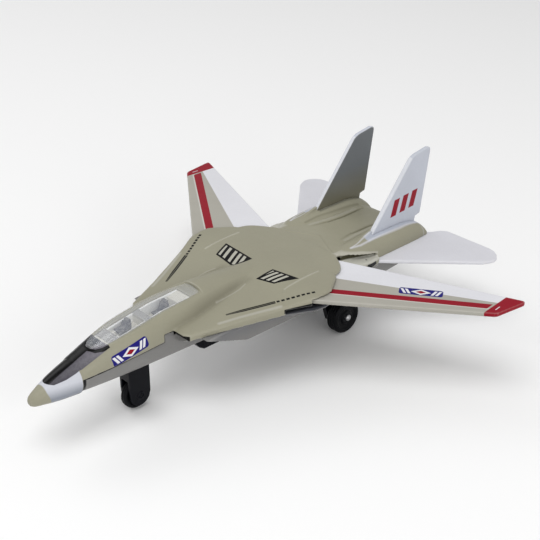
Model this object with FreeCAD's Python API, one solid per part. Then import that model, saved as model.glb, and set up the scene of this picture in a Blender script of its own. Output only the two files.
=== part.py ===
import FreeCAD, Part
import math
import os

from FreeCAD import Vector as V

# Pocket die-cast swing-wing toy jet.  Millimetres.  Nose toward -Y, port side
# toward +X, +Z up.
# The layout coordinates below put the nose tip at y = -70 and the ground at
# z = -SHIFT_Z; every node is moved by (0, SHIFT_Y, SHIFT_Z) on export so that
# the bounding box is centred on Y = 0 and the wheels stand on Z = 0.

# ---------------------------------------------------------------- dimensions
SHIFT_Y = 2.875
SHIFT_Z = 0.5
NOSE_TIP_Y = -70.0
HALF_SPAN = 61.9

WING_PIVOT = (19.0, 10.0)      # x, y of the port wing pivot
WING_Z0, WING_Z1 = 23.75, 25.1 # underside and top of the wing plate
SECTOR_Z1 = 24.6               # top of the thinner toothed sector
CAVITY_Z0, CAVITY_Z1 = 22.7, 25.35
CAVITY_FWD_Z1 = 24.85          # lower roof where only the sectors pass
PIVOT_PAD_R, PIVOT_PAD_Z1 = 4.6, 23.5
WING_BORE_R = 1.55
PIN_R = 1.5
PIN_HEAD_R = 2.3
PIN_HEAD_T = 0.5
PIN_TOP_Z = 25.9
SHOULDER_R = 9.9               # round shoulder of the wing about its pivot
ROOT_R = 12.95                 # trailing-edge shoulder about the pivot
GEAR_PITCH_R = 19.0            # sector gears meet on the centreline
GEAR_TEETH_FULL = 38
GEAR_ADD, GEAR_DED = 0.72, 1.0
LE_DEG, TE_DEG = 38.0, 21.0    # edge angles in the half-swept rest position
GEAR_TOOTH_T = 1.16            # tooth thickness on the pitch circle
GEAR_FLANK = math.radians(22.0)

CLEAR_T = 0.55                 # canopy wall
FIN_T = 1.3
FIN_X = 10.8
TAIL_T = 1.0
TAIL_DROP_DEG = 1.8

NOSE_AXLE_Y, NOSE_AXLE_Z = -38.9, 3.8
NOSE_WHEEL_R, NOSE_WHEEL_W = 4.3, 2.0
NOSE_AXLE_R = 0.75
FORK_X0, FORK_X1 = 1.3, 2.1

MAIN_AXLE_Y, MAIN_AXLE_Z = 26.9, 4.5
MAIN_WHEEL_R = 5.0
MAIN_WHEEL_X0, MAIN_WHEEL_X1 = 9.0, 12.5
MAIN_AXLE_R = 0.93
MAIN_AXLE_HALF = 13.4
BRACKET_X0, BRACKET_X1 = 6.5, 8.2
AXLE_RUN = 0.07                # radial running clearance of the axles

BELLY_Z = 12.5
KEEL_Z0 = 9.3
SCREW_R, SCREW_LEN = 1.0, 8.0
SCREW_HEAD_R, SCREW_HEAD_T = 1.9, 1.2

# Parting line between the casting and the lower moulding, in the YZ plane.
SEAM = [(-57.0, 17.7), (-33.4, 19.1), (-33.4, 21.3), (-30.0, 21.3), (-30.0, 20.2),
        (0.0, 22.7), (22.5, 22.7), (22.5, 21.0), (70.0, 21.0)]
# Canopy sill, in the YZ plane.
SILL = [(-52.6, 23.0), (-45.0, 24.25), (-31.5, 26.3), (-26.0, 26.6), (-18.9, 26.75)]


# ------------------------------------------------------------------- helpers
def prism_z(points, z0, z1):
    w = Part.makePolygon([V(x, y, z0) for x, y in points] + [V(points[0][0], points[0][1], z0)])
    return Part.Face(w).extrude(V(0, 0, z1 - z0))


def prism_x(points, x0, x1):
    w = Part.makePolygon([V(x0, y, z) for y, z in points] + [V(x0, points[0][0], points[0][1])])
    return Part.Face(w).extrude(V(x1 - x0, 0, 0))


def mirror_x(shape):
    return shape.mirror(V(0, 0, 0), V(1, 0, 0))


def cyl(r, x, y, z, length, axis):
    return Part.makeCylinder(r, length, V(x, y, z), axis)


def quarter(y, xc, zc, a, b, e, quad, n=6):
    """One quadrant of a superellipse in the plane y, as an interpolated edge."""
    pts = []
    for i in range(n + 1):
        t = (quad + i / float(n)) * math.pi / 2.0
        c, s = math.cos(t), math.sin(t)
        if i == 0 or i == n:
            c, s = round(c), round(s)
        px = a * math.copysign(abs(c) ** e, c) if c else 0.0
        pz = b * math.copysign(abs(s) ** e, s) if s else 0.0
        pts.append(V(xc + px, y, zc + pz))
    c = Part.BSplineCurve()
    c.interpolate(pts)
    return c.toShape()


def ring(y, xc, zc, w, top, bottom, e_top=1.0, e_bot=1.0):
    edges = [quarter(y, xc, zc, w, top - zc, e_top, 0), quarter(y, xc, zc, w, top - zc, e_top, 1),
             quarter(y, xc, zc, w, zc - bottom, e_bot, 2), quarter(y, xc, zc, w, zc - bottom, e_bot, 3)]
    return Part.Wire(edges)


def loft(wires, ruled=False):
    s = Part.makeLoft(wires, True, ruled)
    if s.Volume < 0:
        s.reverse()
    return s


def poly_ring(y, pts):
    """Closed polygon in the plane y."""
    return Part.makePolygon([V(x, y, z) for x, z in pts] + [V(pts[0][0], y, pts[0][1])])


def sym(half):
    """Mirror a half profile, given from bottom centre to top centre."""
    return half + [(-x, z) for x, z in reversed(half) if x > 1e-6]


def one(shape):
    """The single solid of a boolean result."""
    s = shape.removeSplitter()
    solids = sorted(s.Solids, key=lambda q: -q.Volume)
    return solids[0]


def arc_points(cx, cy, r, a0, a1, n):
    return [(cx + r * math.cos(math.radians(a0 + (a1 - a0) * i / n)),
             cy + r * math.sin(math.radians(a0 + (a1 - a0) * i / n))) for i in range(n + 1)]


# --------------------------------------------------- shared trimming prisms
seam_up = prism_x(SEAM + [(70.0, 60.0), (-57.0, 60.0)], -40, 40)
seam_down = prism_x(SEAM + [(70.0, -5.0), (-57.0, -5.0)], -40, 40)
sill_up = prism_x(SILL + [(-18.9, 40.0), (-52.6, 40.0)], -12, 12)

# -------------------------------------------------------------------- wings
PX, PY = WING_PIVOT
LE_TAN = math.tan(math.radians(LE_DEG))
TE_TAN = math.tan(math.radians(TE_DEG))
LE_T = (PX + SHOULDER_R * math.cos(math.radians(LE_DEG - 90.0)), PY + SHOULDER_R * math.sin(math.radians(LE_DEG - 90.0)))
TE_T = (PX + ROOT_R * math.cos(math.radians(TE_DEG + 90.0)), PY + ROOT_R * math.sin(math.radians(TE_DEG + 90.0)))


def le_y(x):
    return LE_T[1] + (x - LE_T[0]) * LE_TAN


def te_y(x):
    return TE_T[1] + (x - TE_T[0]) * TE_TAN


def gear_sector(first, last, phase):
    """Toothed sector about the pivot; tooth k is centred at 180 + (k + phase) pitches."""
    pitch = 360.0 / GEAR_TEETH_FULL
    rr, ra, rp = GEAR_PITCH_R - GEAR_DED, GEAR_PITCH_R + GEAR_ADD, GEAR_PITCH_R
    half_p = GEAR_TOOTH_T / 2.0
    half_a = half_p - GEAR_ADD * math.tan(GEAR_FLANK)
    half_r = half_p + GEAR_DED * math.tan(GEAR_FLANK)
    pts = []
    for k in range(first, last + 1):
        a = math.radians(180.0 + (k + phase) * pitch)
        for h, r in ((-half_r, rr), (-half_a, ra), (half_a, ra), (half_r, rr)):
            pts.append((PX + r * math.cos(a) - h * math.sin(a), PY + r * math.sin(a) + h * math.cos(a)))
    return [(PX, PY)] + pts


def wing(phase, first, last):
    """Port-side wing plate with its hidden toothed sector."""
    tip = [(60.0, le_y(60.0)), (60.55, le_y(60.0) + 0.75), (HALF_SPAN - 0.1, te_y(HALF_SPAN) - 1.7), (HALF_SPAN, te_y(HALF_SPAN) - 1.0),
           (HALF_SPAN - 0.2, te_y(HALF_SPAN) - 0.45), (HALF_SPAN - 0.8, te_y(HALF_SPAN - 0.8) - 0.1)]
    outline = ([(PX, PY)] + arc_points(PX, PY, SHOULDER_R, -150, LE_DEG - 90.0, 16) + tip + [TE_T]
               + arc_points(PX, PY, ROOT_R, TE_DEG + 90.0, 150, 6)[1:])
    plate = prism_z(outline, WING_Z0, WING_Z1)
    hub = cyl(SHOULDER_R, PX, PY, WING_Z0, WING_Z1 - WING_Z0, V(0, 0, 1))
    sector = prism_z(gear_sector(first, last, phase), WING_Z0, SECTOR_Z1)
    s = one(plate.fuse([hub, sector]))
    # soften the exposed leading edge, tip and trailing edge
    top, low = [], []
    for e in s.Edges:
        m = e.BoundBox
        cx, cy = (m.XMin + m.XMax) / 2.0, (m.YMin + m.YMax) / 2.0
        if m.ZMax - m.ZMin > 1e-6 or cx < 30.0 or e.Length < 0.3:
            continue
        (top if m.ZMin > WING_Z1 - 0.01 else low).append(e)
    s = s.makeFillet(0.25, top)
    low = [e for e in s.Edges if e.BoundBox.ZMax < WING_Z0 + 1e-4 and (e.BoundBox.XMin + e.BoundBox.XMax) / 2.0 > 30.0]
    s = s.makeChamfer(0.35, low)
    return one(s.cut(cyl(WING_BORE_R, PX, PY, WING_Z0 - 1, 4, V(0, 0, 1))))


wing_port = wing(0.0, -4, 1)
wing_starboard = mirror_x(wing(0.5, -5, 1))

# ---------------------------------------------------------------- fins
FIN = [(36.5, 26.2), (52.4, 45.1), (54.2, 45.9), (59.6, 46.7), (60.7, 46.4), (60.9, 45.6), (57.9, 26.9), (55.7, 26.3),
       (55.5, 24.6), (52.0, 24.6), (52.0, 23.8), (42.0, 23.8), (42.0, 24.6), (38.0, 24.6)]


def fin():
    s = prism_x(FIN, FIN_X - FIN_T / 2.0, FIN_X + FIN_T / 2.0)
    picked = [e for e in s.Edges if e.BoundBox.XMax - e.BoundBox.XMin < 1e-6
              and (e.BoundBox.ZMin + e.BoundBox.ZMax) / 2.0 > 32.0]
    return s.makeFillet(0.3, picked)


fin_port = fin()
fin_starboard = mirror_x(fin_port)

# ---------------------------------------------------------------- tailplanes
TAIL = [(13.2, 33.1), (15.6, 34.1), (36.2, 56.2), (37.2, 58.3), (37.6, 59.6), (37.3, 61.1), (36.1, 62.7), (34.4, 63.8), (32.6, 64.2),
        (18.2, 63.4), (16.3, 62.0), (14.8, 59.2), (13.2, 57.6)]
TAIL_ROOT_X, TAIL_ROOT_Z = 15.0, 20.3


def tailplane():
    s = prism_z(TAIL, TAIL_ROOT_Z, TAIL_ROOT_Z + TAIL_T)
    picked = [e for e in s.Edges if e.BoundBox.ZMax - e.BoundBox.ZMin < 1e-6
              and (e.BoundBox.XMin + e.BoundBox.XMax) / 2.0 > 20.0]
    s = s.makeFillet(0.3, picked)
    s.rotate(V(TAIL_ROOT_X, 0, TAIL_ROOT_Z), V(0, 1, 0), TAIL_DROP_DEG)
    tab = Part.makeBox(6.0, 12.0, 1.1, V(8.6, 38.0, 19.9))
    return one(s.fuse(tab))


tailplane_port = tailplane()
tailplane_starboard = mirror_x(tailplane_port)

# ---------------------------------------------------------------- nose + fuselage
# y, half width, centre z, top z, bottom z, top exponent
nose_rings = [
    ring(-69.95, 0, 15.25, 0.75, 16.0, 14.5),
    ring(-69.5, 0, 15.3, 1.3, 16.6, 14.05),
    ring(-68.4, 0, 15.5, 1.85, 17.35, 13.65),
    ring(-66.0, 0, 15.9, 2.65, 18.5, 13.3),
    ring(-62.0, 0, 16.4, 3.7, 20.05, 12.75),
    ring(-59.0, 0, 16.8, 4.3, 21.0, 12.55),
    ring(-57.4, 0, 17.0, 4.6, 21.45, 12.45),
]
nose = loft(nose_rings)
nose_back = one(loft([ring(-57.4, 0, 17.0, 4.6, 21.45, 12.45), ring(-56.2, 0, 17.2, 4.3, 21.3, 13.3)]))

fwd_rings = [
    ring(-57.6, 0, 17.2, 4.6, 21.4, 12.0, 0.95),
    ring(-54.0, 0, 17.9, 5.0, 22.6, 12.0, 0.90),
    ring(-50.0, 0, 18.7, 5.45, 24.0, 12.0, 0.87),
    ring(-45.0, 0, 19.6, 5.9, 25.6, 12.0, 0.86),
    ring(-38.0, 0, 20.3, 6.3, 26.9, 12.0, 0.86),
    ring(-30.0, 0, 20.6, 6.6, 27.8, 12.0, 0.88),
    ring(-24.0, 0, 20.8, 7.0, 28.05, 12.0, 0.92),
    ring(-18.0, 0, 20.9, 7.1, 27.95, 12.0, 0.95),
    ring(-11.0, 0, 20.9, 6.8, 27.4, 12.0, 0.95),
    ring(-4.0, 0, 20.9, 6.4, 26.75, 12.0, 0.92),
    ring(4.0, 0, 20.9, 6.2, 26.3, 12.0, 0.9),
    ring(14.0, 0, 20.9, 6.4, 25.9, 12.0, 0.85),
    ring(26.0, 0, 20.9, 6.8, 25.2, 12.0, 0.8),
]
fwd = loft(fwd_rings)

# glove and pancake plate, one trapezoid section per station
PLATE = [(-30.7, 10.6, 21.75, 0.0), (-29.9, 11.6, 22.0, 0.1), (-20.0, 15.3, 23.05, 0.25), (-9.0, 19.9, 24.35, 0.5), (-4.0, 22.1, 25.05, 0.5),
         (0.0, 24.0, 25.75, 0.4), (1.4, 24.6, 25.95, 0.35), (5.0, 24.75, 26.3, 0.2), (7.2, 24.65, 26.35, 0.2), (9.0, 23.5, 26.35, 0.2),
         (11.4, 21.9, 26.3, 0.2), (13.4, 20.5, 26.2, 0.2), (14.1, 19.45, 26.15, 0.2), (16.1, 18.95, 26.1, 0.2), (17.2, 18.4, 26.05, 0.2),
         (18.3, 17.55, 26.0, 0.2), (19.4, 16.35, 25.95, 0.15), (20.4, 15.0, 25.9, 0.15), (21.1, 13.8, 25.9, 0.1), (21.9, 12.6, 25.85, 0.1),
         (22.4, 12.2, 25.8, 0.1)]


def plate_ring(y, xe, zt, crown):
    return poly_ring(y, sym([(0.0, 18.0), (xe, 18.0), (xe, zt - 0.65), (xe - 0.35, zt - 0.2), (xe - 1.1, zt), (7.5, zt + crown), (0.0, zt + crown)]))


plate = loft([plate_ring(*p) for p in PLATE], True)
# flat between the engines, with a rounded rear edge
pancake = loft([poly_ring(y, sym([(0.0, 18.0), (w, 18.0), (w, zt - 0.2), (w - 0.4, zt), (0.0, zt + 0.1)]))
                for y, w, zt in ((14.0, 12.4, 25.9), (22.6, 12.0, 25.75), (32.0, 9.5, 25.4), (48.0, 9.0, 24.7),
                                 (53.0, 7.2, 24.4))], True)
pancake_end = loft([poly_ring(y, sym([(0.0, 18.0), (w, 18.0), (w, zt - 0.2), (w - 0.4, zt), (0.0, zt + 0.05)]))
                    for y, w, zt in ((52.9, 7.2, 24.4), (54.4, 6.9, 24.1), (55.1, 6.7, 23.2))], True)


def nacelle_top():
    s = loft([ring(y, xc, 21.6, w, zt, 18.0, 0.82, 0.6) for y, xc, w, zt in (
        (21.6, 9.5, 3.0, 25.2), (26.0, 10.5, 4.2, 25.75), (30.3, 10.8, 4.6, 26.2), (38.0, 10.8, 4.6, 26.75),
        (46.0, 10.8, 4.6, 26.7), (51.5, 10.8, 4.55, 26.25), (54.6, 10.8, 4.5, 25.4), (56.6, 10.8, 4.35, 24.1),
        (57.5, 10.8, 4.2, 22.6))])
    # thin strake running forward from the fin root
    strake = prism_x([(26.4, 25.0), (36.6, 27.7), (38.0, 27.7), (38.0, 25.0)], FIN_X - 0.55, FIN_X + 0.55)
    return s, strake


nac, strake = nacelle_top()
# shelf below the slit that the swept wing's trailing edge enters
SHELF_SIDE = [(22.5, 20.5), (22.5, 23.5), (27.8, 23.15), (35.2, 22.3), (35.2, 20.5)]
shelf = prism_z([(11.0, 22.5), (16.6, 22.8), (17.2, 25.5), (17.2, 31.0), (16.4, 35.2), (11.0, 35.2)], 20.5, 23.6).common(prism_x(SHELF_SIDE, 8.0, 20.0))

upper = fwd.fuse([plate])
for extra in (pancake, pancake_end, nac, mirror_x(nac), strake, mirror_x(strake)):
    upper = upper.fuse(extra)
upper = upper.common(seam_up)
upper = upper.fuse([nose, nose_back])
# recess behind the nose so that the lower moulding starts with a shadow gap
upper = one(upper)

# canopy seat: flat sill in front of, beside and behind the cockpit
sill_cut = sill_up.common(Part.makeBox(14.0, 33.7, 20.0, V(-7.0, -52.6, 20.0)))
upper = upper.cut(sill_cut)


# -------------------------------------------------------------------- canopy
def canopy_solid(off):
    data = [(-52.5, 1.2, 23.25), (-51.3, 2.2, 24.0), (-49.6, 2.95, 24.9), (-47.3, 3.45, 25.9), (-45.0, 3.7, 26.65),
            (-41.5, 3.85, 27.4), (-36.5, 3.9, 28.0), (-32.0, 3.9, 28.2), (-27.0, 3.85, 28.2), (-22.5, 3.65, 27.95),
            (-19.2, 3.4, 27.6)]
    base = lambda y: sill_at(y)
    rings = []
    for i, (y, w, zt) in enumerate(data):
        if off and i == 0:
            y += off * 1.6
        if off and i == len(data) - 1:
            y -= off
        ww, tt = max(w - off, 0.35), zt - off
        zc = base(y) - 0.9
        rings.append(ring(y, 0, zc, ww * 1.02, max(tt, zc + 0.3), zc - 1.0, 0.9, 1.0))
    return loft(rings)


def sill_at(y):
    for (y0, z0), (y1, z1) in zip(SILL, SILL[1:]):
        if y <= y1:
            return z0 + (z1 - z0) * (y - y0) / (y1 - y0)
    return SILL[-1][1]


canopy_out = canopy_solid(0.0).common(sill_up)
canopy_in = canopy_solid(CLEAR_T)
canopy = one(canopy_out.cut(canopy_in))

# ------------------------------------------------------------ cockpit recess
RECESS = [(-48.4, 30.0), (-48.4, 22.1), (-45.4, 22.0), (-22.0, 22.0), (-22.0, 30.0)]
recess = prism_x(RECESS, -2.9, 2.9)
upper = upper.cut(recess)

# cockpit tub: thin open tray with two seats and an instrument coaming
tub_block = prism_x([(-48.4, 22.1), (-45.4, 22.0), (-22.0, 22.0), (-22.0, 26.3), (-31.5, 25.9), (-45.0, 23.8),
                     (-48.4, 23.3)], -2.9, 2.9)
tub_hollow = prism_x([(-47.8, 22.7), (-22.6, 22.7), (-22.6, 30.0), (-47.8, 30.0)], -2.35, 2.35)
tub = tub_block.cut(tub_hollow)
SEAT = [(0.0, 0.0), (0.2, 0.7), (-1.9, 0.8), (-2.0, 1.4), (0.1, 1.6), (0.9, 3.6), (1.8, 3.5), (1.5, 0.0)]


def seat(y, lift):
    body = prism_x([(y + a, 22.6 + b + (lift if b > 1.8 else 0.0)) for a, b in SEAT], -1.35, 1.35)
    head = prism_x([(y + 0.8, 26.0 + lift), (y + 0.95, 26.75 + lift), (y + 1.3, 27.0 + lift), (y + 2.0, 26.8 + lift), (y + 1.9, 25.9 + lift)], -0.85, 0.85)
    link = prism_x([(y + 1.0, 25.2 + lift), (y + 1.0, 26.3 + lift), (y + 1.8, 26.3 + lift), (y + 1.8, 25.2 + lift)], -0.6, 0.6)
    return body.fuse([head, link])


coaming_f = prism_x([(-48.0, 22.5), (-48.0, 23.5), (-45.6, 24.5), (-44.9, 24.1), (-45.2, 22.5)], -2.4, 2.4)
coaming_r = prism_x([(-36.6, 22.6), (-36.6, 25.3), (-35.2, 25.7), (-34.4, 25.3), (-34.4, 22.6)], -2.4, 2.4)
deck = prism_x([(-26.4, 22.6), (-25.4, 25.6), (-22.5, 26.2), (-22.5, 22.6)], -2.4, 2.4)
cockpit_tub = one(tub.fuse([seat(-41.5, -0.75), seat(-29.6, 0.0), coaming_f, coaming_r, deck]).common(
    prism_x([(-48.4, 20.0), (-22.0, 20.0), (-22.0, 29.0), (-48.4, 29.0)], -2.9, 2.9)))

# -------------------------------------------------------- wing cavity (half)
# swept region of the thin sectors, under the lower roof
CAVITY_FWD = [(-1.0, -5.6), (8.0, -5.6), (11.5, -2.5), (13.0, 0.2), (14.0, 19.0), (10.7, 27.4), (7.4, 27.8), (-1.0, 27.0)]
# swept region of the full-thickness plate; its rear side follows the trailing edge at full sweep
CAVITY = [(4.6, 9.0), (6.0, 0.6), (14.0, -0.25), (22.9, -0.25), (23.0, 0.6), (30.0, 0.6), (30.0, 44.86), (8.55, 18.38), (6.2, 15.4)]
cavity = prism_z(CAVITY, CAVITY_Z0 - 1.0, CAVITY_Z1).fuse(prism_z(CAVITY_FWD, CAVITY_Z0 - 1.0, CAVITY_FWD_Z1))
slot = prism_z([(18.0, -5.9), (26.0, -5.9), (26.0, 1.0), (18.0, 1.0)], 22.0, 23.6)
shelf_keep = prism_z([(5.0, 22.5), (18.0, 22.5), (18.0, 36.0), (5.0, 36.0)], 20.0, 21.9)
cavity = cavity.cut(shelf_keep)
# groove for the trailing edge of the swept wing, beside the engine top
groove = prism_x([(22.5, 25.35), (22.5, 22.9), (27.8, 22.6), (34.8, 21.9), (34.8, 23.2), (29.0, 24.35), (26.0, 25.0)], 8.0, 22.0).common(
    prism_z([(12.2, 22.5), (20.0, 22.5), (20.0, 35.0), (14.6, 35.0), (13.6, 30.0), (12.6, 26.0)], 20.0, 27.0))
for tool in (cavity, mirror_x(cavity), slot, mirror_x(slot), groove, mirror_x(groove)):
    upper = upper.cut(tool)
upper = one(upper.fuse([shelf, mirror_x(shelf)]))

# ---------------------------------------------------------------- lower body
low_rings = [
    ring(-56.4, 0, 17.8, 4.4, 23.0, 13.2, 0.5, 0.72),
    ring(-50.0, 0, 17.9, 5.05, 23.0, 12.95, 0.5, 0.7),
    ring(-42.0, 0, 18.0, 5.55, 24.0, 12.75, 0.5, 0.68),
    ring(-32.0, 0, 18.2, 5.9, 25.0, 12.6, 0.5, 0.64),
    ring(-22.0, 0, 18.2, 6.1, 25.0, BELLY_Z, 0.5, 0.6),
    ring(-10.0, 0, 18.2, 6.2, 25.0, BELLY_Z, 0.5, 0.55),
    ring(20.0, 0, 18.2, 6.5, 25.0, BELLY_Z, 0.5, 0.55),
    ring(36.0, 0, 18.2, 6.7, 25.0, 12.6, 0.5, 0.55),
    ring(46.0, 0, 18.6, 6.7, 25.0, 14.2, 0.5, 0.6),
    ring(54.4, 0, 19.4, 6.7, 25.0, 17.6, 0.5, 0.6),
]
lower = loft(low_rings)

DUCT = [(-30.2, 6.0, 14.2, 8.4, 11.7, 12.5), (-26.0, 6.0, 15.0, 8.2, 11.9, 12.5), (-8.0, 6.0, 15.5, 8.0, 12.1, 12.5),
        (12.0, 6.0, 15.5, 7.8, 12.4, 12.5), (22.0, 6.0, 15.4, 7.8, 12.6, 12.9)]
duct = loft([poly_ring(y, [(4.0, 24.0), (xo, 24.0), (xo, 20.2), (xb1 + 0.5, zb + 1.0), (xb1 - 0.6, zb), (xb0 + 0.5, zb), (xb0 - 0.6, zb + 1.2), (4.0, 15.5)])
             for y, xi, xo, xb0, xb1, zb in DUCT], True)
# raked intake lip: keep what lies aft of the rake plane
rake = prism_x([(-29.0, 21.4), (-9.5, 12.4), (-9.0, 5.0), (40.0, 5.0), (40.0, 30.0), (-29.0, 30.0)], 0, 30)
mouth = prism_x([(-27.4, 20.0), (-10.2, 12.6), (-12.0, 5.0), (-40.0, 5.0), (-40.0, 20.0)], 7.0, 14.6)
mouth = mouth.common(loft([poly_ring(y, [(7.4, 19.9), (13.9, 19.9), (11.7, 13.4), (8.5, 13.4)]) for y in (-30.0, -5.0)], True))
mouth.translate(V(0, 3.0, 0.0))
duct = duct.common(rake).cut(mouth)

nac_low = loft([ring(y, 10.8, zc, w, 25.0, zb, 0.5, 0.8) for y, w, zc, zb in (
    (20.0, 4.7, 18.4, 12.9), (30.0, 4.6, 18.6, 13.2), (42.0, 4.6, 18.8, 13.9), (52.0, 4.45, 19.2, 15.0), (58.0, 4.25, 19.8, 16.3))])
nozzle_bore = loft([Part.Wire([Part.Circle(V(10.8, y, 19.9), V(0, 1, 0), r).toShape()]) for y, r in ((54.5, 2.6), (60.5, 3.15))])

FLANGE = [(-29.4, 9.6, 20.2), (-20.0, 14.3, 21.0), (-9.0, 18.9, 21.95), (0.0, 23.3, 22.7), (1.4, 24.2, 22.7), (5.0, 24.8, 22.7),
          (8.0, 24.2, 22.7), (14.0, 20.6, 22.7), (18.5, 17.6, 22.7), (22.4, 15.2, 22.7)]
flange = loft([poly_ring(y, sym([(0.0, zt - 2.4), (xe - 2.6, zt - 2.0), (xe - 0.2, zt - 1.2), (xe, zt - 0.9), (xe, zt + 0.3), (0.0, zt + 0.3)]))
               for y, xe, zt in FLANGE], True)
fairing = prism_z([(12.0, 22.4), (16.2, 22.6), (16.8, 25.6), (16.8, 31.0), (16.0, 35.2), (12.0, 36.4)], 19.3, 21.0)

pads = [cyl(PIVOT_PAD_R, sx * PX, PY, 21.5, PIVOT_PAD_Z1 - 21.5, V(0, 0, 1)) for sx in (1, -1)]
lower = lower.fuse([duct, mirror_x(duct)])
for extra in (nac_low, mirror_x(nac_low), flange, fairing, mirror_x(fairing)):
    lower = lower.fuse(extra)
lower = one(lower.common(seam_down))
for tool in (nozzle_bore, mirror_x(nozzle_bore)):
    lower = lower.cut(tool)
    upper = upper.cut(tool)
lower = one(lower.fuse(pads))
lower = lower.cut([nose, nose_back, tailplane_port, tailplane_starboard])
# the two halves keep clear of the nose cone and take the white inserts
upper = upper.cut([tailplane_port, tailplane_starboard, fin_port, fin_starboard])

# --------------------------------------------------------------- fasteners
def screw(x, y, z):
    """Pan-head screw with a cross recess; z is the underside of the head, driven upward."""
    head = cyl(SCREW_HEAD_R, x, y, z - SCREW_HEAD_T, SCREW_HEAD_T, V(0, 0, 1))
    rim = [e for e in head.Edges if e.BoundBox.ZMax < z - SCREW_HEAD_T + 1e-6 and e.BoundBox.ZMax - e.BoundBox.ZMin < 1e-6]
    head = head.makeFillet(0.4, rim[:1])
    s = head.fuse(cyl(SCREW_R, x, y, z, SCREW_LEN, V(0, 0, 1)))
    for a, b in ((1.15, 0.22), (0.22, 1.15)):
        s = s.cut(Part.makeBox(2 * a, 2 * b, 0.7, V(x - a, y - b, z - SCREW_HEAD_T - 0.01)))
    return one(s)


SCREWS = [(0.0, -53.6, 13.9), (0.0, 46.0, 15.4), (0.0, -12.0, 10.9), (0.0, 12.0, 10.9), (0.0, 27.0, 10.9)]
screws = [screw(*s) for s in SCREWS]
wells = []
for x, y, z in SCREWS:
    wells.append(cyl(SCREW_R, x, y, z, SCREW_LEN, V(0, 0, 1)))
    wells.append(cyl(SCREW_HEAD_R + 0.15, x, y, z - 8.0, 8.0, V(0, 0, 1)))


def pivot_pin(x, y):
    z0 = CAVITY_Z0 - 1.3
    s = cyl(PIN_HEAD_R, x, y, z0 - PIN_HEAD_T, PIN_HEAD_T, V(0, 0, 1)).fuse(cyl(PIN_R, x, y, z0, PIN_TOP_Z - z0, V(0, 0, 1)))
    return one(s)


pins = [pivot_pin(PX, PY), pivot_pin(-PX, PY)]
flange_flat = [cyl(PIN_HEAD_R + 0.1, sx * PX, PY, CAVITY_Z0 - 5.0, 3.7, V(0, 0, 1)) for sx in (1, -1)]

# ------------------------------------------------------------------- keel
keel_side = prism_x([(-20.0, 12.5), (-20.0, 11.0), (-19.4, 9.9), (-18.2, KEEL_Z0), (18.0, KEEL_Z0), (19.0, 10.2), (19.0, 12.5)], -3.3, 3.3)
keel_plan = prism_z([(-1.9, -20.0), (1.9, -20.0), (2.8, -19.4), (3.3, -18.2), (3.3, 19.0), (-3.3, 19.0), (-3.3, -18.2), (-2.8, -19.4)], 8.0, 13.0)
belly_keel = keel_side.common(keel_plan).cut(wells)

# ------------------------------------------------------- main gear bracket
plate_b = Part.makeBox(2 * BRACKET_X1, 12.4, 1.6, V(-BRACKET_X1, 20.4, 10.9))
leg = prism_x([(20.4, 12.5), (32.8, 12.5), (32.8, 9.6), (30.6, 4.5), (29.9, 2.9), (28.5, 1.9), (26.9, 1.6), (25.3, 1.9), (24.0, 2.9),
               (23.5, 4.5), (21.8, 9.6)], BRACKET_X0, BRACKET_X1)
main_bracket = plate_b.fuse([leg, mirror_x(leg)])
main_bracket = main_bracket.cut(cyl(MAIN_AXLE_R + AXLE_RUN, -20, MAIN_AXLE_Y, MAIN_AXLE_Z, 40, V(1, 0, 0)))
main_bracket = one(main_bracket.cut(wells))

# seat of the keel and of the bracket on the belly
pad = Part.makeBox(6.6, 39.0, 3.0, V(-3.3, -20.0, 12.5))
pad_b = Part.makeBox(2 * BRACKET_X1, 12.4, 3.0, V(-BRACKET_X1, 20.4, 12.5)).common(prism_x([(20.4, 12.5), (32.8, 12.5), (32.8, 15.5), (20.4, 15.5)], -BRACKET_X1, BRACKET_X1))
lower = lower.fuse([pad, pad_b])
lower = lower.cut(prism_z([(-9, -25), (9, -25), (9, 34), (-9, 34)], 5.0, 12.5))

# ---------------------------------------------------------- main wheelset
main_axle = cyl(MAIN_AXLE_R, -MAIN_AXLE_HALF, MAIN_AXLE_Y, MAIN_AXLE_Z, 2 * MAIN_AXLE_HALF, V(1, 0, 0))
main_axle = main_axle.makeChamfer(0.25, [e for e in main_axle.Edges if e.Closed and len(e.Vertexes) == 1 and e.BoundBox.XMax - e.BoundBox.XMin < 1e-6])


def main_wheel():
    r, x0, x1 = MAIN_WHEEL_R, MAIN_WHEEL_X0, MAIN_WHEEL_X1
    prof = [(x0, MAIN_AXLE_R), (x0, 2.2), (x0 + 0.3, 2.6), (x0 + 0.3, 3.6), (x0, r - 0.6), (x0 + 0.12, r - 0.25), (x0 + 0.5, r), (x1 - 0.5, r), (x1 - 0.12, r - 0.25),
            (x1, r - 0.6), (x1, 3.6), (x1 - 0.45, 3.2), (x1 - 0.45, 2.1), (x1 + 0.05, 1.8), (x1 + 0.05, MAIN_AXLE_R)]
    w = Part.makePolygon([V(x, MAIN_AXLE_Y, MAIN_AXLE_Z + q) for x, q in prof] + [V(prof[0][0], MAIN_AXLE_Y, MAIN_AXLE_Z + prof[0][1])])
    return Part.Face(w).revolve(V(0, MAIN_AXLE_Y, MAIN_AXLE_Z), V(1, 0, 0), 360)


main_wheel_port = main_wheel()
if main_wheel_port.ShapeType != "Solid":
    main_wheel_port = main_wheel_port.Solids[0] if main_wheel_port.Solids else Part.Solid(main_wheel_port)
main_wheel_starboard = mirror_x(main_wheel_port)

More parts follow.
